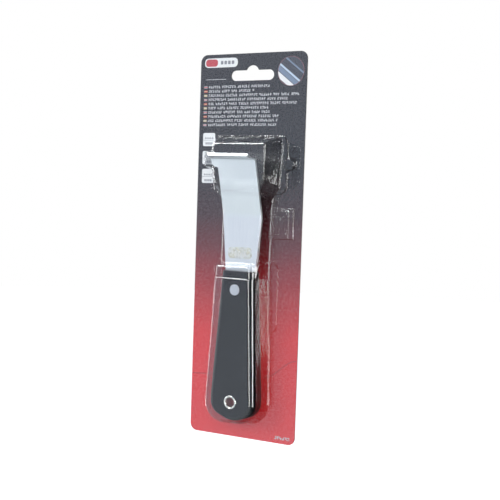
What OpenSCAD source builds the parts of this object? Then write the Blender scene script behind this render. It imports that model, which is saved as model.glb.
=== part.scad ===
// Window-trim hook scraper on its hang card, under a clear blister.
// The pack hangs from its euro slot: +Z is up, +X is to the right and the printed front faces -Y.
// The origin is the centre of the euro slot's bar, on the card's front face.

/* [Hang card] */
// Width of the card
card_w = 80; // [76:1:90]
// Height of the card
card_h = 254; // [250:1:262]
// Thickness of the card
card_t = 0.6; // [0.4:0.1:1]
// Radius of the card's corners
card_corner = 5; // [2:0.5:8]

/* [Euro slot] */
// Length of the slot's bar with its round ends
slot_w = 32; // [30:0.5:34]
// Height of the slot's bar
slot_bar = 6.8; // [6:0.1:8]
// Radius of the slot's central bump
slot_bump = 5; // [4:0.25:6]
// Height of the bump's centre above the bar's centre
slot_rise = 1.5; // [1:0.25:2.5]
// Distance from the card's top edge to the bar's centre
slot_drop = 14.4; // [12:0.2:18]

/* [Blister] */
// Thickness of the clear sheet
sheet_t = 0.45; // [0.3:0.05:0.5]
// Height of the head box's front above the card
head_depth = 25.4; // [25.2:0.1:28]
// Half width of the head box where it leaves the card
head_half = 25.6; // [24:0.1:27]
// Height of the neck's front above the card
neck_depth = 11.5; // [10.5:0.1:13]
// Half width of the neck
neck_half = 17.6; // [17:0.1:19]
// Height of the handle pocket's front above the card
grip_depth = 16.3; // [16.2:0.1:18]
// Height of the low step around the pockets
step_rise = 0.8; // [0.5:0.1:1.2]

/* [Handle] */
// Length of the handle
grip_len = 98.4; // [94:0.2:104]
// Thickness of the handle, both scales together
grip_t = 14.5; // [13:0.1:14.7]
// Half width of the handle at the blade
grip_top_half = 11.3; // [10.8:0.1:12]
// Half width of the handle near its butt
grip_butt_half = 17; // [16:0.1:17.5]
// Radius of the handle's long edges
grip_edge = 4.8; // [3:0.1:5.5]

/* [Blade] */
// Thickness of the steel strip
blade_t = 1.6; // [1.2:0.1:2]
// Half width of the blade where it leaves the handle
blade_root_half = 11.1; // [10:0.1:11.3]
// Half width of the blade past its flare
blade_half = 14.2; // [13:0.1:15]
// Lean of the blade past its bend, in degrees
lean = 17.3; // [10:0.1:17.5]
// Length of the turned hook lip
lip_len = 5.5; // [3:0.1:5.6]
// Turn of the hook lip from the leaning blade, in degrees
lip_turn = 48; // [30:1:50]
// Reach of the side ear past the blade's left edge
ear_reach = 4.4; // [2:0.1:6]

/* [Rivet and eyelet] */
// Radius of the rivet's heads
rivet_head_r = 3.55; // [3:0.05:4]
// Radius of the eyelet's bore
hole_r = 3.05; // [2.5:0.05:3.3]
// Radius of the eyelet's rims
rim_r = 4.65; // [4.3:0.05:5]
// Turn of the tool in its pocket, clockwise from the front, in degrees
tool_turn = 0.5; // [0:0.1:0.8]

/* [Hidden] */
$fn = 64;
hull_fn = 32;
cut = 1;

// The pack's own axes are x to the right, y up from the card's bottom edge, z out of the card's front.
slot_h = card_h - slot_drop;
sheet_gap = 0.15;
flange_top = sheet_gap + sheet_t;

// The head box, from its foot at the flange to its front
head_low = [165.5, 169];
head_high = [199.4, 193];
head_front_half = head_half - 1.2;
head_corner = 4;
// The handle pocket, foot and front
grip_low = [9.8, 11.6];
grip_high = [117.5, 115.4];
pocket_top_half = [18.2, 14.2];
pocket_low_half = [20.8, 18.8];
pocket_low_corner = [14, 13];
pocket_top_corner = 3;
soft_edge = 3;
// The neck: level beside the straight blade, then rising with the leaning blade
neck_low = 113.5;
neck_bend = 148.5;
neck_high = 172;
neck_wall_in = 1.6;
neck_corner = 3;
// The low step's outline: around the head box, the neck and the handle pocket's upper half
step_head = [28.6, 162, 199.9];
step_neck = [22, 100];
step_grip = [24.2, 66, 118.5];
step_corner = 6;
panel = [18.6, 31.6, 133.6, 152.6];
panel_rise = 0.5;
stud_at = [29.6, 182];
stud_r = 4.6;
stud_rise = 2.6;

// The tool's own axes have their origin at the eyelet's centre, y up the tool and z = 0 in the blade.
grip_half_t = grip_t / 2;
hole_from_butt = 12.6;
grip_top = grip_len - hole_from_butt;
rivet_y = grip_top - 12.1;
tool_rest = 0.15;
tool_mid = grip_half_t + tool_rest;
tool_hole_h = 25.8;
tool_level_y = 66.2;
seam = 0.3;
fit = 0.05;

// The handle's outline is the hull of round pucks: two past its top end, two at the butt's corners, one at the end
top_puck_r = 7;
top_puck_y = grip_top + 8;
corner_puck_r = 10;
corner_puck_y = -0.3;
end_puck_r = 17;
end_puck_y = end_puck_r - hole_from_butt;

// The blade along the tool
flare_end = grip_top + 33;
bend_y = 121.7;
bend_r = 14;
head_bend_y = 158.6;
head_bend_r = 2;
ear_low_y = 153;
ear_chamfer = 1.8;
lip_right = 10.7;
bend_steps = 10;
lean_run = (head_bend_y - bend_y) / cos(lean) - bend_r * tan(lean / 2) - head_bend_r * tan(lip_turn / 2);
lip_run = lip_len - head_bend_r * tan(lip_turn / 2);
tang_low_y = -6.5;
tang_half = [7.2, 8.4];
tang_fit = 0.15;
tang_slack = 0.03;

// Rivet: a tube with a head takes a pin with a head
rivet_tube_r = 2.3;
rivet_pin_r = 1.5;
rivet_sink = 1.15;
rivet_proud = 0.3;
rivet_tube_low = -4.9;
rivet_tube_blind = 5;
rivet_pin_high = 4.4;
// Eyelet: a tube with a round front rim, rolled over a sunk washer at the back
eyelet_tube_r = 3.6;
rim_rise = 0.75;
washer_r = 5.5;
washer_t = 0.55;
washer_sink = washer_t + rim_rise;

card_color = "firebrick";
steel_color = "gainsboro";
grip_color = "dimgray";
rivet_color = "silver";
eyelet_color = "lightgray";
sheet_color = [0.8, 0.9, 1, 0.4];

// Pack axes to the part's axes
module in_pack() { translate([0, 0, -slot_h]) rotate([90, 0, 0]) children(); }

// Tool axes to the part's axes, turned about a point up the handle
module in_tool() {
    in_pack()
        translate([-tool_level_y * sin(tool_turn), tool_hole_h, tool_mid])
            rotate([0, 0, -tool_turn])
                children();
}

// A rectangle with round corners, from [half width, low, high]
module round_box(half, low, high, r) {
    translate([-half + r, low]) square([2 * (half - r), high - low]);
    translate([-half, low + r]) square([2 * half, high - low - 2 * r]);
    for (x = [-half + r, half - r], y = [low + r, high - r]) translate([x, y]) circle(r);
}

module card_outline() { round_box(card_w / 2, 0, card_h, card_corner); }

module euro_slot() {
    translate([0, slot_h]) {
        square([slot_w - slot_bar, slot_bar], center = true);
        for (side = [-1, 1]) translate([side * (slot_w - slot_bar) / 2, 0]) circle(slot_bar / 2);
        translate([0, slot_rise]) circle(slot_bump);
    }
}

module backing_card() {
    color(card_color)
        in_pack()
            translate([0, 0, -card_t])
                linear_extrude(card_t)
                    difference() {
                        card_outline();
                        euro_slot();
                    }
}

// Four thin round posts at one level of a pocket: low and high corners with their own half widths
module level(low, high, low_half, high_half, low_r, high_r, z) {
    for (side = [-1, 1]) {
        translate([side * (low_half - low_r), low + low_r, z - fit])
            cylinder(h = fit, r = low_r, $fn = hull_fn);
        translate([side * (high_half - high_r), high - high_r, z - fit])
            cylinder(h = fit, r = high_r, $fn = hull_fn);
    }
}

// The head box with a bevelled front edge; t shrinks it to the inside of the sheet
module head_box(t) {
    hull() {
        level(head_low[0] + t, head_high[0] - t, head_half - t, head_half - t,
            head_corner, head_corner, sheet_gap);
        level(head_low[1] - 1 + t, head_high[1] + 1 - t, head_front_half - t, head_front_half - t,
            head_corner, head_corner, head_depth - soft_edge);
        level(head_low[1] + 1 + t, head_high[1] - 1 - t, head_front_half - 2 - t, head_front_half - 2 - t,
            head_corner, head_corner, head_depth - t);
    }
}

module grip_pocket(t) {
    hull() {
        level(grip_low[0] + t, grip_high[0] - t, pocket_low_half[0] - t, pocket_top_half[0] - t,
            pocket_low_corner[0], pocket_top_corner, sheet_gap);
        level(grip_low[1] + t, grip_high[1] - t, pocket_low_half[1] - t, pocket_top_half[1] - t,
            pocket_low_corner[1], pocket_top_corner, grip_depth - soft_edge);
        level(grip_low[1] + 1.6 + t, grip_high[1] - 1 - t, pocket_low_half[1] - 1.8 - t,
            pocket_top_half[1] - 1.8 - t, pocket_low_corner[1], pocket_top_corner, grip_depth - t);
    }
}

module level_neck(t) {
    half = neck_half - t;
    translate([-half, neck_low + t, sheet_gap - fit])
        cube([2 * half, neck_bend - neck_low, neck_depth - t - sheet_gap + fit]);
}

module rising_neck(t) {
    rise = (neck_high - neck_bend) * tan(lean);
    hull() {
        level(neck_bend - 2 + t, neck_high, neck_half - t, neck_half - t, neck_corner, neck_corner, sheet_gap);
        level(neck_bend - 2 + t, neck_bend + 6, neck_half - t, neck_half - t,
            neck_corner, neck_corner, neck_depth - t);
        level(neck_high - 7, neck_high, neck_half - neck_wall_in - t, neck_half - neck_wall_in - t,
            neck_corner, neck_corner, neck_depth + rise - t);
    }
}

module step_outline(t) {
    round_box(step_head[0] - t, step_head[1] + t, step_head[2] - t, step_corner - t);
    translate([-step_neck[0] + t, step_neck[1]])
        square([2 * (step_neck[0] - t), step_head[1] - step_neck[1] + step_corner]);
    round_box(step_grip[0] - t, step_grip[1] + t, step_grip[2] - t, step_corner - t);
}

module panel_outline(t) {
    translate([panel[0] + t, panel[2] + t])
        square([panel[1] - panel[0] - 2 * t, panel[3] - panel[2] - 2 * t]);
}

// Everything that rises from the flange, at its full size or shrunk by the sheet's thickness
module raised(t) {
    head_box(t);
    grip_pocket(t);
    level_neck(t);
    rising_neck(t);
    foot = sheet_gap - fit;
    translate([0, 0, foot]) linear_extrude(flange_top + step_rise - t - foot) step_outline(t);
    translate([0, 0, foot]) linear_extrude(flange_top + panel_rise - t - foot) panel_outline(t);
    translate([stud_at[0], stud_at[1], foot]) cylinder(h = flange_top + stud_rise - t - foot, r = stud_r - t);
}

module blister() {
    color(sheet_color)
        in_pack()
            difference() {
                union() {
                    translate([0, 0, sheet_gap]) linear_extrude(sheet_t) card_outline();
                    raised(0);
                }
                raised(sheet_t);
                // everything below the flange's back face
                translate([-card_w, -cut, -cut]) cube([2 * card_w, card_h + 2 * cut, cut + sheet_gap]);
                linear_extrude(2 * flange_top) euro_slot();
            }
}

// One half of the handle, with its mating face at z = 0 and a small bevel along the seam
module puck(r) {
    rotate_extrude($fn = 96)
        polygon(concat(
            [[0, 0], [r - seam, 0], [r, seam]],
            [for (a = [0:7.5:90]) [r - grip_edge * (1 - cos(a)), grip_half_t - grip_edge * (1 - sin(a))]],
            [[0, grip_half_t]]
        ));
}

module grip_blank() {
    hull() {
        for (side = [-1, 1]) {
            translate([side * (grip_top_half - 0.6 - top_puck_r), top_puck_y, 0]) puck(top_puck_r);
            translate([side * (grip_butt_half - corner_puck_r), corner_puck_y, 0]) puck(corner_puck_r);
        }
        translate([0, end_puck_y, 0]) puck(end_puck_r);
    }
}

module tang_outline(t) {
    polygon([
        [-tang_half[0] - t, tang_low_y - t], [tang_half[0] + t, tang_low_y - t],
        [tang_half[1] + t, grip_top + cut], [-tang_half[1] - t, grip_top + cut]
    ]);
}

// The shared form of both scales: square top end, recess for the tang, bores for rivet and eyelet
module half_grip() {
    difference() {
        grip_blank();
        translate([-card_w, grip_top, -cut]) cube([2 * card_w, card_w, grip_t]);
        translate([0, 0, -cut]) linear_extrude(cut + blade_t / 2 + tang_slack) tang_outline(tang_fit);
        translate([0, rivet_y, -cut]) cylinder(h = grip_t, r = rivet_tube_r + fit);
        translate([0, rivet_y, grip_half_t - rivet_sink]) cylinder(h = grip_t, r = rivet_head_r + fit);
        translate([0, 0, -cut]) cylinder(h = grip_t, r = eyelet_tube_r + fit);
    }
}

module handle_scale_front() { color(grip_color) in_tool() half_grip(); }

module handle_scale_back() {
    color(grip_color)
        in_tool()
            difference() {
                mirror([0, 0, 1]) half_grip();
                // sunk seat for the washer
                translate([0, 0, -grip_t]) cylinder(h = grip_t - grip_half_t + washer_sink, r = washer_r + fit);
            }
}

// Outline of the blade as it is seen square to the tool
module blade_outline() {
    tang_outline(0);
    polygon([
        [-blade_root_half, grip_top + fit], [blade_root_half, grip_top + fit],
        [blade_half, flare_end], [blade_half, head_bend_y - 0.6], [blade_half - 0.8, head_bend_y + 0.3],
        [lip_right + 0.4, head_bend_y + 0.3], [lip_right, head_bend_y + 0.8], [lip_right - 0.5, card_h],
        [-blade_half - ear_reach + 0.5, card_h], [-blade_half - ear_reach, head_bend_y],
        [-blade_half - ear_reach, ear_low_y + ear_chamfer], [-blade_half - ear_reach + ear_chamfer, ear_low_y],
        [-blade_half - 0.8, ear_low_y], [-blade_half, ear_low_y - 0.8], [-blade_half, flare_end]
    ]);
}

// Edge view of the strip: its centreline runs along +X and turns towards +Y at its two bends.
// Each station is [x, y, direction].
function past(at, run) = [at[0] + run * cos(at[2]), at[1] + run * sin(at[2]), at[2]];
function turned(at, r, angle) = [
    at[0] + r * (sin(at[2] + angle) - sin(at[2])),
    at[1] - r * (cos(at[2] + angle) - cos(at[2])),
    at[2] + angle
];
function bend(at, r, angle) = [for (i = [0:bend_steps]) turned(at, r, angle * i / bend_steps)];
function beside(at, d) = [at[0] - d * sin(at[2]), at[1] + d * cos(at[2])];

module blade_edge_view() {
    tang_end = [tang_low_y, 0, 0];
    low_bend = bend(past(tang_end, bend_y - bend_r * tan(lean / 2) - tang_low_y), bend_r, lean);
    lip_bend = bend(past(low_bend[bend_steps], lean_run), head_bend_r, lip_turn);
    stations = concat([tang_end], low_bend, lip_bend, [past(lip_bend[bend_steps], lip_run)]);
    last = len(stations) - 1;
    polygon(concat(
        [for (i = [0:last]) beside(stations[i], -blade_t / 2)],
        [for (i = [last:-1:0]) beside(stations[i], blade_t / 2)]
    ));
}

module blade() {
    color(steel_color)
        in_tool()
            difference() {
                intersection() {
                    translate([-card_w / 2, 0, 0])
                        rotate([90, 0, 90])
                            linear_extrude(card_w) blade_edge_view();
                    translate([0, 0, -grip_t]) linear_extrude(4 * grip_t) blade_outline();
                }
                translate([0, rivet_y, -grip_t]) cylinder(h = 2 * grip_t, r = rivet_tube_r + 2 * fit);
                translate([0, 0, -grip_t]) cylinder(h = 2 * grip_t, r = eyelet_tube_r + 2 * fit);
            }
}

// A round head with a softened outer edge, its seat at z = 0
module rivet_head(thick) {
    cylinder(h = thick - 0.15, r = rivet_head_r);
    cylinder(h = thick, r = rivet_head_r - 0.35);
}

module rivet_cap() {
    color(rivet_color)
        in_tool()
            translate([0, rivet_y, 0])
                difference() {
                    union() {
                        translate([0, 0, grip_half_t - rivet_sink]) rivet_head(rivet_sink + rivet_proud);
                        translate([0, 0, rivet_tube_low])
                            cylinder(h = grip_half_t - rivet_sink - rivet_tube_low, r = rivet_tube_r);
                    }
                    translate([0, 0, rivet_tube_low - cut])
                        cylinder(h = rivet_tube_blind - rivet_tube_low + cut, r = rivet_pin_r + fit);
                }
}

module rivet_pin() {
    color(rivet_color)
        in_tool()
            translate([0, rivet_y, 0])
                mirror([0, 0, 1]) {
                    translate([0, 0, grip_half_t - rivet_sink]) rivet_head(rivet_sink);
                    translate([0, 0, -rivet_pin_high])
                        cylinder(h = grip_half_t - rivet_sink + rivet_pin_high, r = rivet_pin_r);
                }
}

// Half of a round rim, standing on z = 0 around the bore
module rim() {
    width = rim_r - hole_r;
    rotate_extrude()
        translate([hole_r + width / 2, 0])
            intersection() {
                circle(width / 2);
                translate([-width, 0]) square([2 * width, rim_rise]);
            }
}

module eyelet_tube() {
    back = -grip_half_t + washer_sink - washer_t;
    color(eyelet_color)
        in_tool() {
            translate([0, 0, grip_half_t]) rim();
            translate([0, 0, back]) mirror([0, 0, 1]) rim();
            translate([0, 0, back])
                difference() {
                    cylinder(h = grip_half_t - back, r = eyelet_tube_r);
                    translate([0, 0, -cut]) cylinder(h = grip_t + 2 * cut, r = hole_r);
                }
        }
}

module eyelet_washer() {
    color(eyelet_color)
        in_tool()
            translate([0, 0, -grip_half_t + washer_sink - washer_t])
                difference() {
                    cylinder(h = washer_t, r = washer_r);
                    translate([0, 0, -cut]) cylinder(h = washer_t + 2 * cut, r = eyelet_tube_r + fit);
                }
}

backing_card();
blister();
blade();
handle_scale_front();
handle_scale_back();
rivet_cap();
rivet_pin();
eyelet_tube();
eyelet_washer();
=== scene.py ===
"""Window-trim hook scraper on a printed hang card, under a clear formed blister.

Sizes are millimetres in the pack's own axes: x to the right, h up from the card's bottom edge and
d out of the card's printed front. pack_point() turns them into the shared frame's metres.
"""

import math
import random

import bmesh
import bpy
import numpy as np
from mathutils import Matrix, Vector


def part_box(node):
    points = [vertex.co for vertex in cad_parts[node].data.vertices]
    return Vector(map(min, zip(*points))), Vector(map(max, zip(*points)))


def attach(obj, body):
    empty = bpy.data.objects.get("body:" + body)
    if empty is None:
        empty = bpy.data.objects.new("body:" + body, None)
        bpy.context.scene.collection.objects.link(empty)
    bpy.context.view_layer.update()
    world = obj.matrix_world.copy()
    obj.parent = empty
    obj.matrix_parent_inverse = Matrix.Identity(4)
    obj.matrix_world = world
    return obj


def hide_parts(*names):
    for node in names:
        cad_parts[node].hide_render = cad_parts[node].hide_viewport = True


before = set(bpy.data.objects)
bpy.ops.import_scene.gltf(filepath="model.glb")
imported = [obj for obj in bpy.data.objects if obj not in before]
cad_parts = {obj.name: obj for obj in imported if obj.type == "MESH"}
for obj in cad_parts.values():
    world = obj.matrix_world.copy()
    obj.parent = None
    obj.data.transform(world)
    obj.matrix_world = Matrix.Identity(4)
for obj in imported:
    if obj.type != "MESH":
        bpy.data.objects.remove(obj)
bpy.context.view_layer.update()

MM = 0.001
CARD_LOW, CARD_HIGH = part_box("backing_card")
FOOT_Z = CARD_LOW.z
FRONT_Y = CARD_LOW.y
CARD_HALF = (CARD_HIGH.x - CARD_LOW.x) / 2 / MM
CARD_H = (CARD_HIGH.z - CARD_LOW.z) / MM
CARD_CORNER = 5

# The euro slot: a bar with round ends and a bump at its middle
SLOT_H = -FOOT_Z / MM
SLOT_HALF = 16.0
SLOT_R = 3.4
SLOT_BUMP_R = 5.0
SLOT_BUMP_RISE = 1.5

# The clear sheet
SHEET_T = 0.45
SHEET_GAP = 0.15
FLANGE = SHEET_GAP + SHEET_T

# The print lies on the card, inside the gap under the sheet, and its layers are one LAYER apart
PRINT_LIFT = 0.04
LAYER = 0.01

# Depths of the materials' relief, in metres
FINE_RELIEF = 0.00001
METAL_RELIEF = 0.00002
SHEET_RELIEF = 0.00025

# How the CAD's meshes are cleaned: distance in metres and angles in degrees
WELD = 2e-6
FLAT_ANGLE = 0.2
SHARP_ANGLE = 35
ROUNDING_STEPS = 3
FACE_WEIGHT = 80


def pack_point(x, h, d):
    """A place in the pack's millimetres as a point of the shared frame."""
    return Vector((x * MM, FRONT_Y - d * MM, FOOT_Z + h * MM))


# ---------------------------------------------------------------- node helpers


class Nodes:
    """The node tree of a new material or world, with short calls for adding and joining nodes."""

    def __init__(self, name, library=bpy.data.materials, output="OutputMaterial"):
        self.block = library.new(name)
        self.block.use_nodes = True
        self.tree = self.block.node_tree
        self.tree.nodes.clear()
        self.out = self.add(output)

    def add(self, kind):
        return self.tree.nodes.new("ShaderNode" + kind)

    def join(self, source, target):
        self.tree.links.new(source, target)

    def place(self, scale=(1, 1, 1)):
        """The piece's own place, in metres times scale."""
        coordinates = self.add("TexCoord")
        mapping = self.add("Mapping")
        mapping.inputs["Scale"].default_value = scale
        self.join(coordinates.outputs["Object"], mapping.inputs["Vector"])
        return mapping.outputs["Vector"]

    def noise(self, scale, detail=2.0, stretch=(1, 1, 1), roughness=0.5):
        """Smooth noise with scale features per metre."""
        node = self.add("TexNoise")
        node.inputs["Scale"].default_value = scale
        node.inputs["Detail"].default_value = detail
        node.inputs["Roughness"].default_value = roughness
        self.join(self.place(stretch), node.inputs["Vector"])
        return node.outputs["Fac"]

    def spread(self, value, low, high, from_low=0.0, from_high=1.0, smooth=False):
        """Maps a value's range onto low to high."""
        node = self.add("MapRange")
        node.interpolation_type = "SMOOTHSTEP" if smooth else "LINEAR"
        node.inputs["From Min"].default_value = from_low
        node.inputs["From Max"].default_value = from_high
        node.inputs["To Min"].default_value = low
        node.inputs["To Max"].default_value = high
        self.join(value, node.inputs["Value"])
        return node.outputs["Result"]

    def feed(self, socket, value):
        """Sets a socket to a number or a colour, or joins an output to it."""
        if isinstance(value, tuple):
            socket.default_value = (*value, 1)
        elif isinstance(value, (int, float)):
            socket.default_value = value
        else:
            self.join(value, socket)

    def math(self, operation, *values):
        node = self.add("Math")
        node.operation = operation
        for socket, value in zip(node.inputs, values):
            self.feed(socket, value)
        return node.outputs["Value"]

    def length(self, vector):
        node = self.add("VectorMath")
        node.operation = "LENGTH"
        self.join(vector, node.inputs[0])
        return node.outputs["Value"]

    def dot(self, vector, direction):
        node = self.add("VectorMath")
        node.operation = "DOT_PRODUCT"
        node.inputs[1].default_value = direction
        self.join(vector, node.inputs[0])
        return node.outputs["Value"]

    def mix(self, factor, a, b, blend="MIX"):
        """Two colours mixed. The numbers are the colour sockets' places on the Mix node."""
        node = self.add("Mix")
        node.data_type = "RGBA"
        node.blend_type = blend
        for place, value in ((0, factor), (6, a), (7, b)):
            self.feed(node.inputs[place], value)
        return node.outputs[2]

    def tint(self, colour, shade):
        """A colour multiplied by a grey value."""
        return self.mix(1.0, colour, shade, "MULTIPLY")

    def ramp(self, value, stops):
        node = self.add("ValToRGB")
        band = node.color_ramp
        while len(band.elements) < len(stops):
            band.elements.new(0.5)
        for element, (position, colour) in zip(band.elements, stops):
            element.position = position
            element.color = (*colour, 1)
        self.join(value, node.inputs["Fac"])
        return node.outputs["Color"]

    def bump(self, height, distance, strength=1.0):
        node = self.add("Bump")
        node.inputs["Distance"].default_value = distance
        node.inputs["Strength"].default_value = strength
        self.join(height, node.inputs["Height"])
        return node.outputs["Normal"]

    def principled(self, **values):
        """The surface shader, with values for its sockets by name."""
        node = self.add("BsdfPrincipled")
        for name, value in values.items():
            self.feed(node.inputs[name.replace("_", " ")], value)
        self.join(node.outputs["BSDF"], self.out.inputs["Surface"])
        return node

    def share(self, factor, first, second):
        """The surface as a mix of two shaders."""
        node = self.add("MixShader")
        self.feed(node.inputs[0], factor)
        self.join(first.outputs[0], node.inputs[1])
        self.join(second.outputs[0], node.inputs[2])
        self.join(node.outputs[0], self.out.inputs["Surface"])


# ---------------------------------------------------------------- materials


def card_material():
    """Printed board: black at the top runs into red at the bottom. Its edges and back are bare board."""
    n = Nodes("printed_board")
    split = n.add("SeparateXYZ")
    n.join(n.place(), split.inputs[0])
    height = n.spread(split.outputs["Z"], 0, 1, CARD_LOW.z, CARD_HIGH.z)
    # heights up the card as shares of its height, with the ink's colour there
    ink = n.ramp(height, [
        (0.00, (0.660, 0.026, 0.030)),
        (0.20, (0.640, 0.016, 0.020)),
        (0.27, (0.600, 0.012, 0.015)),
        (0.33, (0.470, 0.010, 0.013)),
        (0.42, (0.270, 0.008, 0.012)),
        (0.50, (0.115, 0.008, 0.012)),
        (0.58, (0.036, 0.007, 0.010)),
        (0.70, (0.008, 0.007, 0.010)),
    ])
    ink = n.tint(ink, n.spread(n.noise(900, 3), 0.93, 1.07))
    fibre = n.noise(1400, 4, (1, 1, 0.35))
    board = n.ramp(fibre, [
        (0.30, (0.36, 0.35, 0.33)),
        (0.52, (0.50, 0.49, 0.46)),
        (0.75, (0.60, 0.59, 0.56)),
    ])
    board = n.tint(board, n.spread(n.noise(60, 3), 0.9, 1.06))
    # only faces that look out of the front are printed
    normal = n.add("SeparateXYZ")
    n.join(n.add("TexCoord").outputs["Normal"], normal.inputs[0])
    inked = n.spread(normal.outputs["Y"], 1, 0, -0.9, -0.6)
    n.principled(
        Base_Color=n.mix(inked, board, ink),
        Roughness=n.spread(n.noise(700, 3), 0.22, 0.32),
        Specular_IOR_Level=0.5,
        Normal=n.bump(fibre, FINE_RELIEF, 0.2),
    )
    return n.block


def ink_material(name, colour):
    """One printed colour, slightly uneven."""
    n = Nodes(name)
    n.principled(
        Base_Color=n.tint(colour, n.spread(n.noise(1500, 2), 0.9, 1.05)),
        Roughness=n.spread(n.noise(900, 2), 0.44, 0.58),
        Specular_IOR_Level=0.35,
    )
    return n.block


def steel_material():
    """Satin strip steel, ground along its length, with faint handling marks."""
    n = Nodes("ground_steel")
    grind = n.noise(260, 4, (9, 9, 0.25), 0.65)
    tone = n.ramp(grind, [
        (0.25, (0.77, 0.79, 0.81)),
        (0.50, (0.82, 0.84, 0.85)),
        (0.75, (0.87, 0.88, 0.89)),
    ])
    smudge = n.spread(n.noise(45, 3), 0.0, 0.25, 0.45, 0.75)
    tone = n.mix(smudge, tone, (0.73, 0.76, 0.78))
    n.principled(
        Base_Color=tone,
        Metallic=1.0,
        Roughness=n.spread(grind, 0.30, 0.44),
        Anisotropic=0.35,
        Normal=n.bump(grind, METAL_RELIEF, 0.25),
    )
    return n.block


def handle_material():
    """Glossy black moulding with a very fine texture."""
    n = Nodes("black_moulding")
    grain = n.noise(2600, 2)
    wave = n.noise(90, 2)
    n.principled(
        Base_Color=n.ramp(wave, [(0.3, (0.004, 0.004, 0.005)), (0.7, (0.007, 0.007, 0.009))]),
        Roughness=n.spread(wave, 0.24, 0.36),
        Specular_IOR_Level=0.06,
        Normal=n.bump(grain, FINE_RELIEF, 0.12),
    )
    return n.block


def rivet_material():
    """Turned aluminium, a little dull."""
    n = Nodes("turned_aluminium")
    scratch = n.noise(2200, 3)
    n.principled(
        Base_Color=n.ramp(scratch, [(0.3, (0.55, 0.56, 0.58)), (0.7, (0.72, 0.73, 0.75))]),
        Metallic=1.0,
        Roughness=n.spread(scratch, 0.24, 0.42),
        Normal=n.bump(scratch, METAL_RELIEF, 0.3),
    )
    return n.block


def eyelet_material():
    """Bright nickel plate with fine wear."""
    n = Nodes("nickel_plate")
    wear = n.noise(1800, 3)
    n.principled(
        Base_Color=n.ramp(wear, [(0.3, (0.72, 0.69, 0.63)), (0.7, (0.84, 0.81, 0.75))]),
        Metallic=1.0,
        Roughness=n.spread(wear, 0.16, 0.32),
        Normal=n.bump(wear, METAL_RELIEF, 0.2),
    )
    return n.block


def sheet_material():
    """Clear formed sheet: see-through, mirroring more where it is seen at a slant."""
    n = Nodes("clear_sheet")
    ripple = n.bump(n.noise(55, 2), SHEET_RELIEF, 0.14)
    weight = n.add("LayerWeight")
    weight.inputs["Blend"].default_value = 0.5
    n.join(ripple, weight.inputs["Normal"])
    slant = n.math("POWER", weight.outputs["Facing"], 5.0)
    mirrored = n.math("MULTIPLY_ADD", slant, 0.95, 0.043)
    clear = n.add("BsdfTransparent")
    thick = n.math("POWER", weight.outputs["Facing"], 3.0)
    n.join(n.mix(thick, (0.985, 0.99, 0.99), (0.86, 0.88, 0.90)), clear.inputs["Color"])
    gloss = n.add("BsdfAnisotropic")
    gloss.distribution = "GGX"
    gloss.inputs["Color"].default_value = (1, 1, 1, 1)
    scuff = n.noise(400, 4)
    n.join(n.spread(scuff, 0.02, 0.07, 0.35, 0.8), gloss.inputs["Roughness"])
    n.join(ripple, gloss.inputs["Normal"])
    n.share(mirrored, clear, gloss)
    return n.block


def floor_material():
    """Plain pale studio floor that glows, for the camera less near the object and more far off. What the
    object mirrors is a painted studio light, brighter at its left front and fading far off, and a painted
    shadow darkens it right under the object.
    """
    n = Nodes("pale_floor")
    reach = n.length(n.place((1, 1, 0)))
    side = n.dot(n.place(), (-0.75, -0.66, 0.0))
    lit = n.spread(reach, 0.40, 0.85, 0.9, 1.7, True)
    # painted shadow: the glow that the object mirrors is darkened right under it
    painted_shadow_under_object = n.spread(reach, 0.12, 1.0, 0.10, 0.60, True)
    # painted studio light: that glow is brighter towards the object's left front, and fades far off
    studio = n.math("MULTIPLY", painted_shadow_under_object, n.spread(side, 0.02, 0.90, -0.5, 0.6, True))
    studio = n.math("MULTIPLY", studio, n.spread(reach, 1.0, 0.5, 1.3, 2.2, True))
    pale = n.principled(
        Base_Color=n.ramp(n.noise(3, 2), [(0.3, (0.90, 0.90, 0.90)), (0.7, (0.94, 0.94, 0.94))]),
        Roughness=0.9,
        Specular_IOR_Level=0.1,
        Emission_Color=(1.0, 1.0, 1.0),
        Emission_Strength=lit,
    )
    glow = n.add("Emission")
    glow.inputs["Color"].default_value = (0.86, 0.94, 1.0, 1)
    n.join(studio, glow.inputs["Strength"])
    n.share(n.add("LightPath").outputs["Is Camera Ray"], glow, pale)
    return n.block


# ---------------------------------------------------------------- mesh helpers


def add_piece(name, mesh, body, materials):
    """A mesh as a piece that rides on a body and takes its finish from a material slot."""
    piece = bpy.data.objects.new(name, mesh)
    bpy.context.scene.collection.objects.link(piece)
    for material in materials:
        mesh.materials.append(material)
    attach(piece, body)
    return piece


def refined(node, name, body, slot, material, bevel):
    """A copy of a CAD node with its shared edges welded, its sharp edges rounded and smooth shading."""
    sharp = math.radians(SHARP_ANGLE)
    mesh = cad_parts[node].data.copy()
    mesh.name = name
    mesh.materials.clear()
    work = bmesh.new()
    work.from_mesh(mesh)
    bmesh.ops.remove_doubles(work, verts=work.verts, dist=WELD)
    bmesh.ops.dissolve_limit(work, angle_limit=math.radians(FLAT_ANGLE), verts=work.verts, edges=work.edges)
    for face in work.faces:
        face.smooth = True
    work.to_mesh(mesh)
    work.free()
    for attribute in ("custom_normal", "sharp_face", "sharp_edge"):
        if attribute in mesh.attributes:
            mesh.attributes.remove(mesh.attributes[attribute])
    mesh.set_sharp_from_angle(angle=sharp)
    piece = add_piece(name, mesh, body, [material])
    if bevel:
        rounding = piece.modifiers.new("rounding", "BEVEL")
        rounding.width = bevel * MM
        rounding.segments = ROUNDING_STEPS
        rounding.limit_method = "ANGLE"
        rounding.angle_limit = sharp
        rounding.harden_normals = False
    weighted = piece.modifiers.new("flat_faces", "WEIGHTED_NORMAL")
    weighted.keep_sharp = False
    weighted.weight = FACE_WEIGHT
    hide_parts(node)
    return piece


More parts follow.
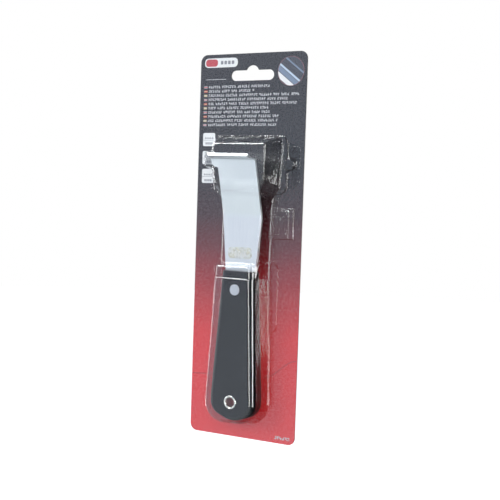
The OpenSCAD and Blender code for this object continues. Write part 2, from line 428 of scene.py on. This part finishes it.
def flat_piece(name, shapes, materials, lift, place, body):
    """Printed shapes as one thin mesh: each shape is (outline, material index, extra lift)."""
    work = bmesh.new()
    for outline, index, extra in shapes:
        corners = [work.verts.new(place(x, y, lift + extra)) for x, y in outline]
        face = work.faces.new(corners)
        face.material_index = index
    bmesh.ops.recalc_face_normals(work, faces=work.faces)
    front = place(0, 0, 1) - place(0, 0, 0)
    for face in work.faces:
        if face.normal.dot(front) < 0:
            face.normal_flip()
    mesh = bpy.data.meshes.new(name)
    work.to_mesh(mesh)
    work.free()
    return add_piece(name, mesh, body, materials)


DISC_STEPS = 48
CORNER_STEPS = 4
BAND_STEPS = 10


def arc(cx, cy, r, start, end, steps):
    """Points of an arc, in degrees."""
    angles = [math.radians(start + (end - start) * i / steps) for i in range(steps + 1)]
    return [(cx + r * math.cos(a), cy + r * math.sin(a)) for a in angles]


def disc(cx, cy, r):
    return arc(cx, cy, r, 0, 360 * (DISC_STEPS - 1) / DISC_STEPS, DISC_STEPS - 1)


def rounded_box(x0, y0, x1, y1, r):
    """Outline of a rectangle with round corners."""
    centres = ((x1 - r, y1 - r), (x0 + r, y1 - r), (x0 + r, y0 + r), (x1 - r, y0 + r))
    corners = [arc(*centre, r, 90 * i, 90 * i + 90, CORNER_STEPS) for i, centre in enumerate(centres)]
    return [point for corner in corners for point in corner]


def rectangle(x0, y0, x1, y1):
    return [(x0, y0), (x1, y0), (x1, y1), (x0, y1)]


def chord_band(cx, cy, r, turn, low, high):
    """The part of a disc between two parallel chords, which lie low and high from its centre."""
    across = [low + (high - low) * i / BAND_STEPS for i in range(BAND_STEPS + 1)]
    halves = [math.sqrt(max(r * r - s * s, 0)) for s in across]
    local = list(zip(halves, across)) + [(-half, s) for half, s in zip(halves[::-1], across[::-1])]
    c, s = math.cos(math.radians(turn)), math.sin(math.radians(turn))
    return [(cx + c * u - s * v, cy + s * u + c * v) for u, v in local]


# ---------------------------------------------------------------- the formed sheet

# Pairs are sizes at the foot and at the front. The others are heights, or distances from the middle line.
HEAD = {
    "low": (163.4, 164.8), "high": (199.4, 194.6),
    "left_low": (26.9, 11.6), "left_high": (28.8, 14.4),
    "right_low": (22.6, 25.4), "right_high": (24.8, 25.4),
    "depth": 25.2, "corner": (5.0, 2.6), "edge": 1.8, "low_edge": (3.0, 8.0),
}
EAR = {
    "low": (175.0, 178.6), "high": (191.0, 188.6), "left": (25.4, 19.8), "right": (4.0, 8.0),
    "depth": 24.6, "corner": 1.6, "edge": 1.2,
}
GRIP = {
    "low": (11.0, 12.2), "high": (119.0, 115.2),
    "low_left": (21.4, 20.6), "low_right": (20.6, 17.6),
    "top_left": (17.8, 14.4), "top_right": (17.6, 12.6),
    "depth": 16.3, "low_corner": 14.0, "top_corner": 3.0, "left_edge": 2.2, "right_edge": 4.2,
    "top_edge": 1.6, "shelf": 106.4, "shelf_drop": 0.6,
}
NECK = {
    "left": (18.6, 12.9), "right": (18.2, 16.2), "taper": 0.024, "low": 108.0, "bend": 148.5, "high": 174.0,
    "depth": 11.5, "lean": 17.3, "edge": 1.6,
}
# Pockets run past their open ends by this much, so that the next pocket closes them
OVERRUN = 20

# The low step around the pockets: (half width, low, high) of its two parts
STEPS = [(28.6, 162.0, 199.9), (24.2, 71.0, 118.5)]
STEP_RISE = 0.8
STEP_CORNER = 6.0
STEP_EDGE = 0.35
STEP_JOIN = 3.0
# The embossed panel, the plate it stands on and its marks
PANEL = (18.6, 133.6, 31.6, 152.6)
PANEL_RISE = 0.8
PANEL_DRAFT = 0.9
PANEL_CORNER = 0.8
PANEL_EDGE = 0.7
PLATE_SHIFT = 0.6
PLATE_SIDE = 1.6
PLATE_LOW = 0.4
PLATE_HIGH = 0.6
PLATE_EDGE = 0.2
MARK_CELL = 1.9
MARK_RISE = 0.45
MARK_HALF = (0.65, 0.45)
MARK_EDGE = 0.3
MARK_MARGIN = 1.4

STUD = (30.2, 181.8)
STUD_R = 4.5
STUD_RISE = 2.4
STUD_EDGE = 1.5

# Fillets where the shapes meet
EAR_JOIN = 0.8
NECK_JOIN = 6.0
GRIP_JOIN = 1.5
STEP_FOOT = 0.35
PANEL_FOOT = 0.3
STUD_FOOT = 0.6
POCKET_FOOT = 1.0


def blend_in(values, t):
    """A size between its value at the foot (t = 0) and at the front (t = 1)."""
    return values[0] + (values[1] - values[0]) * t


def box_distance(x, y, half, low, high, corner):
    """Distance from a rectangle with round corners, less than 0 inside."""
    u = np.abs(x) - half + corner
    v = np.abs(y - (low + high) / 2) - (high - low) / 2 + corner
    return np.hypot(np.maximum(u, 0), np.maximum(v, 0)) + np.minimum(np.maximum(u, v), 0) - corner


def round_and(a, b, r):
    """Both solids' common part, with its edge rounded by r."""
    a, b = a + r, b + r
    return np.minimum(np.maximum(a, b), 0) + np.hypot(np.maximum(a, 0), np.maximum(b, 0)) - r


def round_or(a, b, r):
    """Two solids joined with a fillet of r."""
    a, b = a - r, b - r
    return np.maximum(np.minimum(a, b), 0) - np.hypot(np.minimum(a, 0), np.minimum(b, 0)) + r


def head_distance(x, h, d):
    """The box around the blade's head, open at its lower end."""
    t = np.clip(d / HEAD["depth"], 0, 1)
    low, high = blend_in(HEAD["low"], t), blend_in(HEAD["high"], t)
    along = np.clip((h - low) / (high - low), 0, 1)
    left = blend_in(HEAD["left_low"], t) * (1 - along) + blend_in(HEAD["left_high"], t) * along
    right = blend_in(HEAD["right_low"], t) * (1 - along) + blend_in(HEAD["right_high"], t) * along
    corner = blend_in(HEAD["corner"], t)
    side = box_distance(x - (right - left) / 2, h, (right + left) / 2, low - OVERRUN, high, corner)
    box = round_and(side, d - HEAD["depth"], HEAD["edge"])
    return round_and(box, low - h, blend_in(HEAD["low_edge"], t))


def ear_distance(x, h, d):
    """The small bay that makes room for the blade's ear and the lip's end."""
    t = np.clip(d / EAR["depth"], 0, 1)
    left, right = blend_in(EAR["left"], t), blend_in(EAR["right"], t)
    low, high = blend_in(EAR["low"], t), blend_in(EAR["high"], t)
    side = box_distance(x - (right - left) / 2, h, (right + left) / 2, low, high, EAR["corner"])
    return round_and(side, d - EAR["depth"], EAR["edge"])


def grip_distance(x, h, d):
    """The handle's pocket, with a small shelf across its top end."""
    t = np.clip(d / GRIP["depth"], 0, 1)
    low, high = blend_in(GRIP["low"], t), blend_in(GRIP["high"], t)
    along = np.clip((h - low) / (high - low), 0, 1)
    left = blend_in(GRIP["low_left"], t) * (1 - along) + blend_in(GRIP["top_left"], t) * along
    right = blend_in(GRIP["low_right"], t) * (1 - along) + blend_in(GRIP["top_right"], t) * along
    corner = np.where(along < 0.5, GRIP["low_corner"], GRIP["top_corner"])
    side = box_distance(x - (right - left) / 2, h, (right + left) / 2, low, high + OVERRUN, corner)
    past = np.clip(h - GRIP["shelf"], 0, 1)
    front = d - GRIP["depth"] + GRIP["shelf_drop"] * past * past * (3 - 2 * past)
    edge = np.where(x < 0, GRIP["left_edge"], GRIP["right_edge"])
    return round_and(round_and(side, front, edge), h - high, GRIP["top_edge"])


def neck_distance(x, h, d):
    """The neck over the blade: level at first, then rising with the leaning blade."""
    rise = np.maximum(h - NECK["bend"], 0) * math.tan(math.radians(NECK["lean"]))
    t = np.clip(d / NECK["depth"], 0, 1)
    wide = NECK["taper"] * (h - NECK["bend"])
    side = np.maximum(x - wide - blend_in(NECK["right"], t), -x - blend_in(NECK["left"], t))
    ends = np.maximum(NECK["low"] - h, h - NECK["high"])
    return np.maximum(round_and(side, d - NECK["depth"] - rise, NECK["edge"]), ends)


def step_distance(x, h, d):
    upper, lower = (box_distance(x, h, *sizes, STEP_CORNER) for sizes in STEPS)
    return round_and(round_or(upper, lower, STEP_JOIN), d - FLANGE - STEP_RISE, STEP_EDGE)


def marks_distance(x, h, d, flat):
    """Small raised marks in a scatter of the panel's cells. They stand for no code or letter."""
    column = np.floor((x - PANEL[0]) / MARK_CELL)
    row = np.floor((h - PANEL[1]) / MARK_CELL)
    shown = (column * 7 + row * 11 + column * row * 5) % 7 < 3
    within_x = (x - PANEL[0]) - (column + 0.5) * MARK_CELL
    within_h = (h - PANEL[1]) - (row + 0.5) * MARK_CELL
    half_x, half_h = MARK_HALF
    mark = box_distance(within_x, within_h, half_x, -half_h, half_h, MARK_EDGE)
    mark = np.where(shown & (flat < -MARK_MARGIN), mark, 1.0)
    return round_and(mark, d - FLANGE - PANEL_RISE - MARK_RISE, MARK_EDGE)


def panel_distance(x, h, d):
    """The embossed panel on its wider plate."""
    left, low, right, high = PANEL
    middle, half = (left + right) / 2, (right - left) / 2
    flat = box_distance(x - middle, h, half, low, high, PANEL_CORNER)
    plate = box_distance(
        x - middle - PLATE_SHIFT, h, half + PLATE_SIDE, low - PLATE_LOW, high + PLATE_HIGH, PANEL_CORNER
    )
    plate = round_and(plate, d - FLANGE - PANEL_RISE / 2, PLATE_EDGE)
    sloped = flat + PANEL_DRAFT * (d - FLANGE)
    panel = round_and(sloped, d - FLANGE - PANEL_RISE, PANEL_EDGE)
    return np.minimum(np.minimum(panel, marks_distance(x, h, d, flat)), plate)


def stud_distance(x, h, d):
    return round_and(np.hypot(x - STUD[0], h - STUD[1]) - STUD_R, d - FLANGE - STUD_RISE, STUD_EDGE)


def sheet_distance(x, h, d):
    """Distance from the outer face of the formed sheet."""
    raised = round_or(head_distance(x, h, d), ear_distance(x, h, d), EAR_JOIN)
    raised = round_or(raised, neck_distance(x, h, d), NECK_JOIN)
    raised = round_or(raised, grip_distance(x, h, d), GRIP_JOIN)
    low = round_or(d - FLANGE, step_distance(x, h, d), STEP_FOOT)
    low = round_or(low, panel_distance(x, h, d), PANEL_FOOT)
    low = round_or(low, stud_distance(x, h, d), STUD_FOOT)
    return round_or(low, raised, POCKET_FOOT)


def trim_distance(x, h):
    """Distance from the sheet's cut outline: the card's shape with the euro slot out of it."""
    outside = box_distance(x, h, CARD_HALF, 0, CARD_H, CARD_CORNER)
    bar = box_distance(x, h, SLOT_HALF, SLOT_H - SLOT_R, SLOT_H + SLOT_R, SLOT_R)
    bump = np.hypot(x, h - SLOT_H - SLOT_BUMP_RISE) - SLOT_BUMP_R
    return np.maximum(outside, -np.minimum(bar, bump))


def grid_lines(stretches):
    """Grid lines along one axis: each stretch is (start, end, spacing)."""
    lines = [np.linspace(a, b, max(1, round((b - a) / pitch)), endpoint=False) for a, b, pitch in stretches]
    return np.concatenate(lines + [[stretches[-1][1]]])


def surface_net(distance, axes):
    """Points and quads of the surface where distance is 0, on a grid with uneven lines.

    Each cell that the surface crosses gets one point, the mean of the crossings on its edges. Each grid
    edge that the surface crosses gets a quad between its four cells.
    """
    grid = np.meshgrid(*axes, indexing="ij")
    values = distance(*grid)
    shape = np.array(values.shape) - 1
    total = np.zeros((*shape, 3))
    count = np.zeros(shape, int)
    crossings = []
    for axis in range(3):
        first = [slice(None)] * 3
        second = [slice(None)] * 3
        first[axis], second[axis] = slice(0, -1), slice(1, None)
        a, b = values[tuple(first)], values[tuple(second)]
        at = np.argwhere((a < 0) != (b < 0))
        va, vb = a[tuple(at.T)], b[tuple(at.T)]
        point = np.stack([axes[k][at[:, k]] for k in range(3)], 1).astype(float)
        step = axes[axis][at[:, axis] + 1] - axes[axis][at[:, axis]]
        point[:, axis] += step * va / (va - vb)
        others = [k for k in range(3) if k != axis]
        ring = []
        for du, dv in ((0, 0), (-1, 0), (-1, -1), (0, -1)):
            cell = at.copy()
            cell[:, others[0]] += du
            cell[:, others[1]] += dv
            ring.append(cell)
            held = ((cell >= 0) & (cell < shape)).all(1)
            np.add.at(total, tuple(cell[held].T), point[held])
            np.add.at(count, tuple(cell[held].T), 1)
        crossings.append((ring, va < 0, axis))
    number = np.full(count.shape, -1)
    used = count > 0
    number[used] = np.arange(used.sum())
    points = total[used] / count[used][:, None]
    quads = []
    for ring, leaving, axis in crossings:
        held = np.all([((c >= 0) & (c < shape)).all(1) for c in ring], axis=0)
        quad = np.stack([number[tuple(c[held].T)] for c in ring], 1)
        turn = leaving[held] ^ (axis == 1)
        quad[~turn] = quad[~turn][:, ::-1]
        quads.append(quad)
    return points, np.concatenate(quads)


SLOPE_REACH = 0.02
LONGEST_STEP = 0.4
FLATTEST_SLOPE = 0.2


def slope_of(distance, points):
    """The distance field's slope at each point."""
    result = np.empty_like(points)
    for k in range(points.shape[1]):
        shift = np.zeros(points.shape[1])
        shift[k] = SLOPE_REACH
        ahead = distance(*(points + shift).T)
        behind = distance(*(points - shift).T)
        result[:, k] = (ahead - behind) / (2 * SLOPE_REACH)
    return result


def settle(distance, points, rounds=5):
    """Moves points onto the surface where distance is 0."""
    for _ in range(rounds):
        slope = slope_of(distance, points)
        size = np.maximum((slope ** 2).sum(1), FLATTEST_SLOPE)
        step = distance(*points.T)[:, None] * slope / size[:, None]
        points = points - np.clip(step, -LONGEST_STEP, LONGEST_STEP)
    return points


def open_edges(quads):
    """The directed edges that only one quad has."""
    edges = np.concatenate([quads[:, [i, (i + 1) % 4]] for i in range(4)])
    key = np.sort(edges, 1)
    _, back, times = np.unique(key, axis=0, return_inverse=True, return_counts=True)
    return edges[times[back.ravel()] == 1]


# The grid's lines, close together where the sheet has edges and wide apart where it is flat
GRID_X = [
    (-42, -31.5, 2.1), (-31.5, -24, 0.5), (-24, -9, 0.55), (-9, 11, 1.25), (11, 18, 0.5), (18, 34, 0.4),
    (34, 42, 2.0),
]
GRID_H = [
    (-2, 8, 2), (8, 28, 0.6), (28, 62, 2.2), (62, 70, 0.7), (70, 94, 2.2), (94, 126, 0.6),
    (126, 133, 1.2), (133, 153.4, 0.4), (153.4, 161, 1.1), (161, 204, 0.5), (204, 232, 2.4),
    (232, 250, 0.7), (250, 256, 1.5),
]
GRID_D = [(-0.2, 2.8, 0.3), (2.8, 20.8, 0.75), (20.8, 26.4, 0.4)]
RIM_ROUNDS = 8


def outer_face():
    """Points and quads of the sheet's outer face, trimmed to the card's outline."""
    points, quads = surface_net(sheet_distance, [grid_lines(s) for s in (GRID_X, GRID_H, GRID_D)])
    points = settle(sheet_distance, points)
    middle = points[quads].mean(1)
    quads = quads[trim_distance(middle[:, 0], middle[:, 1]) < 0]
    rim = np.unique(open_edges(quads))
    points[rim, :2] = settle(trim_distance, points[rim, :2], RIM_ROUNDS)
    kept = np.unique(quads)
    number = np.full(len(points), -1)
    number[kept] = np.arange(len(kept))
    return points[kept], number[quads]


def formed_sheet(material):
    """The blister: its outer face, an inner face SHEET_T below it and the rim that joins them."""
    points, quads = outer_face()
    normal = slope_of(sheet_distance, points)
    normal /= np.linalg.norm(normal, axis=1)[:, None]
    inner = points - normal * SHEET_T
    edges = open_edges(quads)
    n = len(points)
    rim_quads = np.stack([edges[:, 1], edges[:, 0], edges[:, 0] + n, edges[:, 1] + n], 1)
    everything = np.concatenate([quads, quads[:, ::-1] + n, rim_quads])
    mesh = bpy.data.meshes.new("blister_sheet")
    mesh.from_pydata([pack_point(*p) for p in np.concatenate([points, inner])], [], everything.tolist())
    mesh.update()
    for polygon in mesh.polygons:
        polygon.use_smooth = True
    outward = np.stack([normal[:, 0], -normal[:, 2], normal[:, 1]], 1)
    mesh.normals_split_custom_set_from_vertices(np.concatenate([outward, -outward]).tolist())
    piece = add_piece("blister_sheet", mesh, "blister", [material])
    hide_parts("blister")
    return piece


# ---------------------------------------------------------------- the print

CENTRE_H = CARD_H / 2
BLADE_FRONT = 8.2
ETCH_LIFT = 0.02
ETCH_BOX = (-9.4, 119.6, 8.4, 127.0)


def on_card(x, y, lift):
    """A place on the card's front, with y measured up from the card's middle."""
    return pack_point(x, CENTRE_H + y, lift)


MARK_GRID = 3
MARKS_SHOWN = 6
LETTER_FILL = 0.78
WORD_LENGTHS = (3, 9)
WORD_GAP = 0.7


def greeked(x0, x1, y, height, rng, letter):
    """A line of writing without letters: words of cells, each a scatter of small marks."""
    wide, tall = letter * LETTER_FILL / MARK_GRID, height / MARK_GRID
    shapes = []
    x = x0
    while x < x1 - letter:
        length = min(rng.randint(*WORD_LENGTHS), int((x1 - x) / letter))
        for i in range(length):
            for mark in rng.sample(range(MARK_GRID * MARK_GRID), MARKS_SHOWN):
                left = x + i * letter + (mark % MARK_GRID) * wide
                low = y + (mark // MARK_GRID) * tall
                shapes.append((rectangle(left, low, left + wide, low + tall), 0, 0))
        x += (length + WORD_GAP) * letter
    return shapes


def printed(name, shapes, inks):
    """A piece of the card's print. Its shapes have y measured up from the card's middle."""
    flat_piece(name, shapes, inks, PRINT_LIFT, on_card, "card")


def print_badge(inks):
    """A plain badge: a white plate with a red block and four small grey ones."""
    shapes = [
        (rounded_box(-37, 118.4, -11.5, 124.6, 2.6), 0, 0),
        (rounded_box(-36.2, 119.1, -26.8, 123.9, 2.0), 1, LAYER),
    ]
    shapes += [(rounded_box(x, 120.4, x + 2.0, 122.7, 0.4), 2, LAYER) for x in (-24.6, -21.8, -19.0, -16.2)]
    printed("print_badge", shapes, inks)


# The ten lines of writing: where each ends, the first one's height, their spacing and their letters
LINE_ENDS = (15, 2.5, 37, 28, 34.5, 13.5, 14.5, 21, 21, 19.4)
LINE_START = -33.4
FIRST_LINE = 104.85
LINE_SPACING = 2.79
LINE_DROP = 0.2
LINE_TALL = 1.75
LETTER_WIDE = 1.55
MARK_SIDES = (-37, -34.4)


def print_writing(line_inks, mark_inks, rng):
    """Lines that stand for writing, each with a striped mark at its left."""
    lines, marks = [], []
    left, right = MARK_SIDES
    for i, end in enumerate(LINE_ENDS):
        y = FIRST_LINE - i * LINE_SPACING
        lines += greeked(LINE_START, end, y - LINE_DROP, LINE_TALL, rng, LETTER_WIDE)
        marks.append((rounded_box(left, y - 0.1, right, y + 1.3, 0.2), i % 3, 0))
        marks.append((rounded_box(left, y + 0.35, right, y + 0.85, 0.1), (i + 1) % 3, LAYER))
    printed("print_lines", lines, line_inks)
    printed("print_marks", marks, mark_inks)


TILE_HEIGHTS = ((66.2, 75), (54, 63), (41.5, 51))
TILE_SIDES = (-36.8, -27.3)
TILE_CORNER = 1.1
TILE_SPLIT = 0.45


def print_tiles(inks):
    """Three plain tiles, each with triangles above a thin line and blocks below it."""
    left, right = TILE_SIDES
    shapes = []
    for low, high in TILE_HEIGHTS:
        split = low + (high - low) * TILE_SPLIT
        shapes.append((rounded_box(left, low, right, high, TILE_CORNER), 0, 0))
        shapes.append((rectangle(left, split - 0.11, right, split + 0.11), 1, LAYER))
        for x in (-34.7, -33.2, -31.7, -30.2):
            shapes.append((rounded_box(x, low + 1.1, x + 1.0, low + 2.6, 0.2), 1, LAYER))
        for x in (-35.4, -33.6, -31.8, -30.0):
            shapes.append(([(x, split + 0.9), (x + 1.5, split + 0.9), (x + 0.75, split + 2.4)], 1, LAYER))
    printed("print_tiles", shapes, inks)


PICTURE = (28.3, 114.5)
PICTURE_R = 9.5
PICTURE_RIM = 0.25
BAND_TURN = -38


def print_picture(inks):
    """A round picture of plain slanted bands inside a thin rim."""
    r = PICTURE_R - PICTURE_RIM
    shapes = [(disc(*PICTURE, PICTURE_R), 0, 0), (disc(*PICTURE, r), 1, LAYER)]
    bands = ((0.8 - PICTURE_R, -5.6, 2), (-5.2, -2.2, 3), (-1.9, -0.6, 4), (4.0, 5.0, 3))
    shapes += [(chord_band(*PICTURE, r, BAND_TURN, low, high), ink, 2 * LAYER) for low, high, ink in bands]
    printed("print_picture", shapes, inks)


WAVE_THICK = 0.5


def print_and_reflection_wave(inks):
    """Two faint dark curves across the foot of the card: partly the card's print, partly a painted dark
    reflection from the sheet.
    """
    wave = [(x, -87 - 0.6 * math.cos((x + 40) * 0.16)) for x in np.linspace(-39.5, -17, 12)]
    rise = [(x, -85 + 13.5 * (0.5 - 0.5 * math.cos((x - 15) * 0.125))) for x in np.linspace(16, 39.6, 16)]
    shapes = [(line + [(x, y - WAVE_THICK) for x, y in line[::-1]], 0, 0) for line in (wave, rise)]
    printed("print_and_reflection_wave", shapes, inks)


def print_pieces():
    """All of the card's print, and the wave that is partly a painted reflection. The writing and the label
    draw from one row of random numbers.
    """
    white = ink_material("white_ink", (0.80, 0.80, 0.80))
    soft = ink_material("soft_white_ink", (0.50, 0.50, 0.52))
    grey = ink_material("grey_ink", (0.22, 0.22, 0.25))
    red = ink_material("red_ink", (0.50, 0.03, 0.05))
    blue = ink_material("blue_grey_ink", (0.16, 0.22, 0.32))
    pale_blue = ink_material("pale_blue_ink", (0.50, 0.60, 0.72))
    dark = ink_material("dark_blue_ink", (0.030, 0.036, 0.055))
    sand = ink_material("sand_ink", (0.62, 0.48, 0.24))
    rim = ink_material("rim_ink", (0.30, 0.11, 0.14))
    wave_ink_and_reflection = ink_material("deep_red_ink_and_reflection", (0.30, 0.006, 0.010))
    rng = random.Random(11)
    print_badge([white, red, grey])
    printed("print_rule", [(rounded_box(-36, 110.3, -20, 110.7, 0.19), 0, 0)], [soft])
    print_writing([soft], [soft, red, sand], rng)
    print_tiles([white, grey])
    print_picture([rim, dark, white, blue, pale_blue])
    # the wave's dark red is partly print and partly a painted reflection
    print_and_reflection_wave([wave_ink_and_reflection])
    printed("print_label", greeked(25.2, 38, -124.4, 2.1, rng, 1.9), [soft])


def etched_patch():
    """A faint tinted patch with small marks, low on the blade's front."""
    n = Nodes("etched_tint")
    stain = n.add("BsdfDiffuse")
    shade = n.ramp(n.noise(600, 3), [(0.35, (0.62, 0.58, 0.42)), (0.65, (0.74, 0.71, 0.56))])
    n.join(shade, stain.inputs["Color"])
    n.share(n.spread(n.noise(240, 3), 0.10, 0.55, 0.35, 0.65), n.add("BsdfTransparent"), stain)
    marks = [(rounded_box(*ETCH_BOX, 2.4), 0, 0)]
    rng = random.Random(5)
    marks += [(outline, 1, LAYER) for outline, _, _ in greeked(-7.6, 6.6, 121.2, 3.4, rng, 2.9)]
    pale = ink_material("etched_pale", (0.62, 0.62, 0.60))
    lift = BLADE_FRONT + ETCH_LIFT
    flat_piece("blade_etch", marks, [n.block, pale], lift, pack_point, "tool")


# ---------------------------------------------------------------- camera, lights and floor

LENS = 74.66
SENSOR = 36
CAMERA_PLACE = (0.3395, -0.5930, -0.0798)
CAMERA_TURN = (87.0905, -1.8640, 29.7163)
MIDDLE = (CARD_LOW + CARD_HIGH) / 2

# The panel lights both the surfaces and what they mirror: place, width, height, power and colour
PANEL_LIGHT = ("left_panel", (-0.80, -1.05, -0.10), 1.3, 1.9, 3.7, (0.74, 0.82, 1.0))
# Narrow lights that only show as glints along edges: name, place, width, height and power
GLINTS = (
    ("right_strip", (1.14, -0.56, 0.02), 0.34, 1.2, 12.0),
    ("front_strip", (0.36, -1.25, 0.05), 0.20, 1.2, 7.0),
    ("top_strip", (-0.62, -0.60, 0.75), 1.0, 0.30, 20.0),
    ("left_strip", (-1.30, 0.05, -0.05), 0.40, 1.4, 13.0),
)
# Soft lights that show in no mirror: name, place and power
FILLS = (
    ("key", (-1.05, -0.85, 0.25), 10.0),
    ("fill", (0.60, -1.15, 0.35), 11.0),
    ("back_fill", (0.5, 1.3, 0.5), 16.0),
)
FILL_SIZE = 0.8

# The world that the object mirrors is brightest towards this side
SKY_SIDE = (-0.75, -0.55, 0.35)
SKY_TINT = (0.84, 0.88, 1.0)

# The floor lies just under the card's foot, in metres
FLOOR_DROP = 0.45
FLOOR_R = 6
FLOOR_SIDES = 96


def add_camera():
    """The camera at the photograph's angle."""
    camera = bpy.data.objects.new("camera", bpy.data.cameras.new("camera"))
    camera.data.lens = LENS
    camera.data.sensor_width = SENSOR
    camera.location = CAMERA_PLACE
    camera.rotation_euler = [math.radians(a) for a in CAMERA_TURN]
    bpy.context.scene.collection.objects.link(camera)
    bpy.context.scene.camera = camera


def soft_light(name, place, width, height, power, colour=(1, 1, 1)):
    """A rectangular soft light at a place, turned to the object's middle."""
    lamp = bpy.data.lights.new(name, "AREA")
    lamp.shape = "RECTANGLE"
    lamp.size, lamp.size_y = width, height
    lamp.energy = power
    lamp.color = colour
    light = bpy.data.objects.new(name, lamp)
    light.location = place
    light.rotation_euler = (MIDDLE - Vector(place)).to_track_quat("-Z", "Y").to_euler()
    bpy.context.scene.collection.objects.link(light)
    return light


def add_lights():
    soft_light(*PANEL_LIGHT)
    for glint in GLINTS:
        soft_light(*glint).visible_diffuse = False
    for name, place, power in FILLS:
        soft_light(name, place, FILL_SIZE, FILL_SIZE, power).visible_glossy = False


def studio_world():
    """Plain white for the camera. For all other rays a dim studio, brighter towards SKY_SIDE."""
    n = Nodes("studio", bpy.data.worlds, "OutputWorld")
    white = n.add("Background")
    white.inputs["Color"].default_value = (1, 1, 1, 1)
    white.inputs["Strength"].default_value = 1.0
    studio = n.add("Background")
    studio.inputs["Color"].default_value = (*SKY_TINT, 1)
    side = n.dot(n.add("TexCoord").outputs["Generated"], Vector(SKY_SIDE).normalized())
    n.join(n.spread(side, 0.03, 0.40, -0.6, 0.5, True), studio.inputs["Strength"])
    n.share(n.add("LightPath").outputs["Is Camera Ray"], studio, white)
    return n.block


def add_floor():
    """A plain round floor."""
    mesh = bpy.data.meshes.new("floor")
    work = bmesh.new()
    place = Matrix.Translation((0, 0, FOOT_Z - FLOOR_DROP))
    bmesh.ops.create_circle(work, cap_ends=True, radius=FLOOR_R, segments=FLOOR_SIDES, matrix=place)
    work.to_mesh(mesh)
    work.free()
    mesh.materials.append(floor_material())
    floor = bpy.data.objects.new("floor", mesh)
    bpy.context.scene.collection.objects.link(floor)


# ---------------------------------------------------------------- build

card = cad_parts["backing_card"]
card.data.materials.clear()
card.data.materials.append(card_material())

steel = steel_material()
moulding = handle_material()
rivet = rivet_material()
nickel = eyelet_material()

# CAD node, piece, body, slot, material and the rounding of its edges
REFINED = (
    ("blade", "blade_strip", "tool", "blade_steel", steel, 0.2),
    ("handle_scale_front", "handle_front", "tool", "handle_plastic", moulding, 0.12),
    ("handle_scale_back", "handle_back", "tool", "handle_plastic", moulding, 0.12),
    ("rivet_cap", "rivet_front", "tool", "rivet_metal", rivet, 0.1),
    ("rivet_pin", "rivet_back", "tool", "rivet_metal", rivet, 0.1),
    ("eyelet_tube", "eyelet_body", "tool", "eyelet_nickel", nickel, 0.0),
    ("eyelet_washer", "eyelet_ring", "tool", "eyelet_nickel", nickel, 0.05),
)
for row in REFINED:
    refined(*row)
etched_patch()
print_pieces()
formed_sheet(sheet_material())

add_camera()
add_lights()
bpy.context.scene.world = studio_world()
bpy.context.scene.view_settings.view_transform = "Standard"
add_floor()
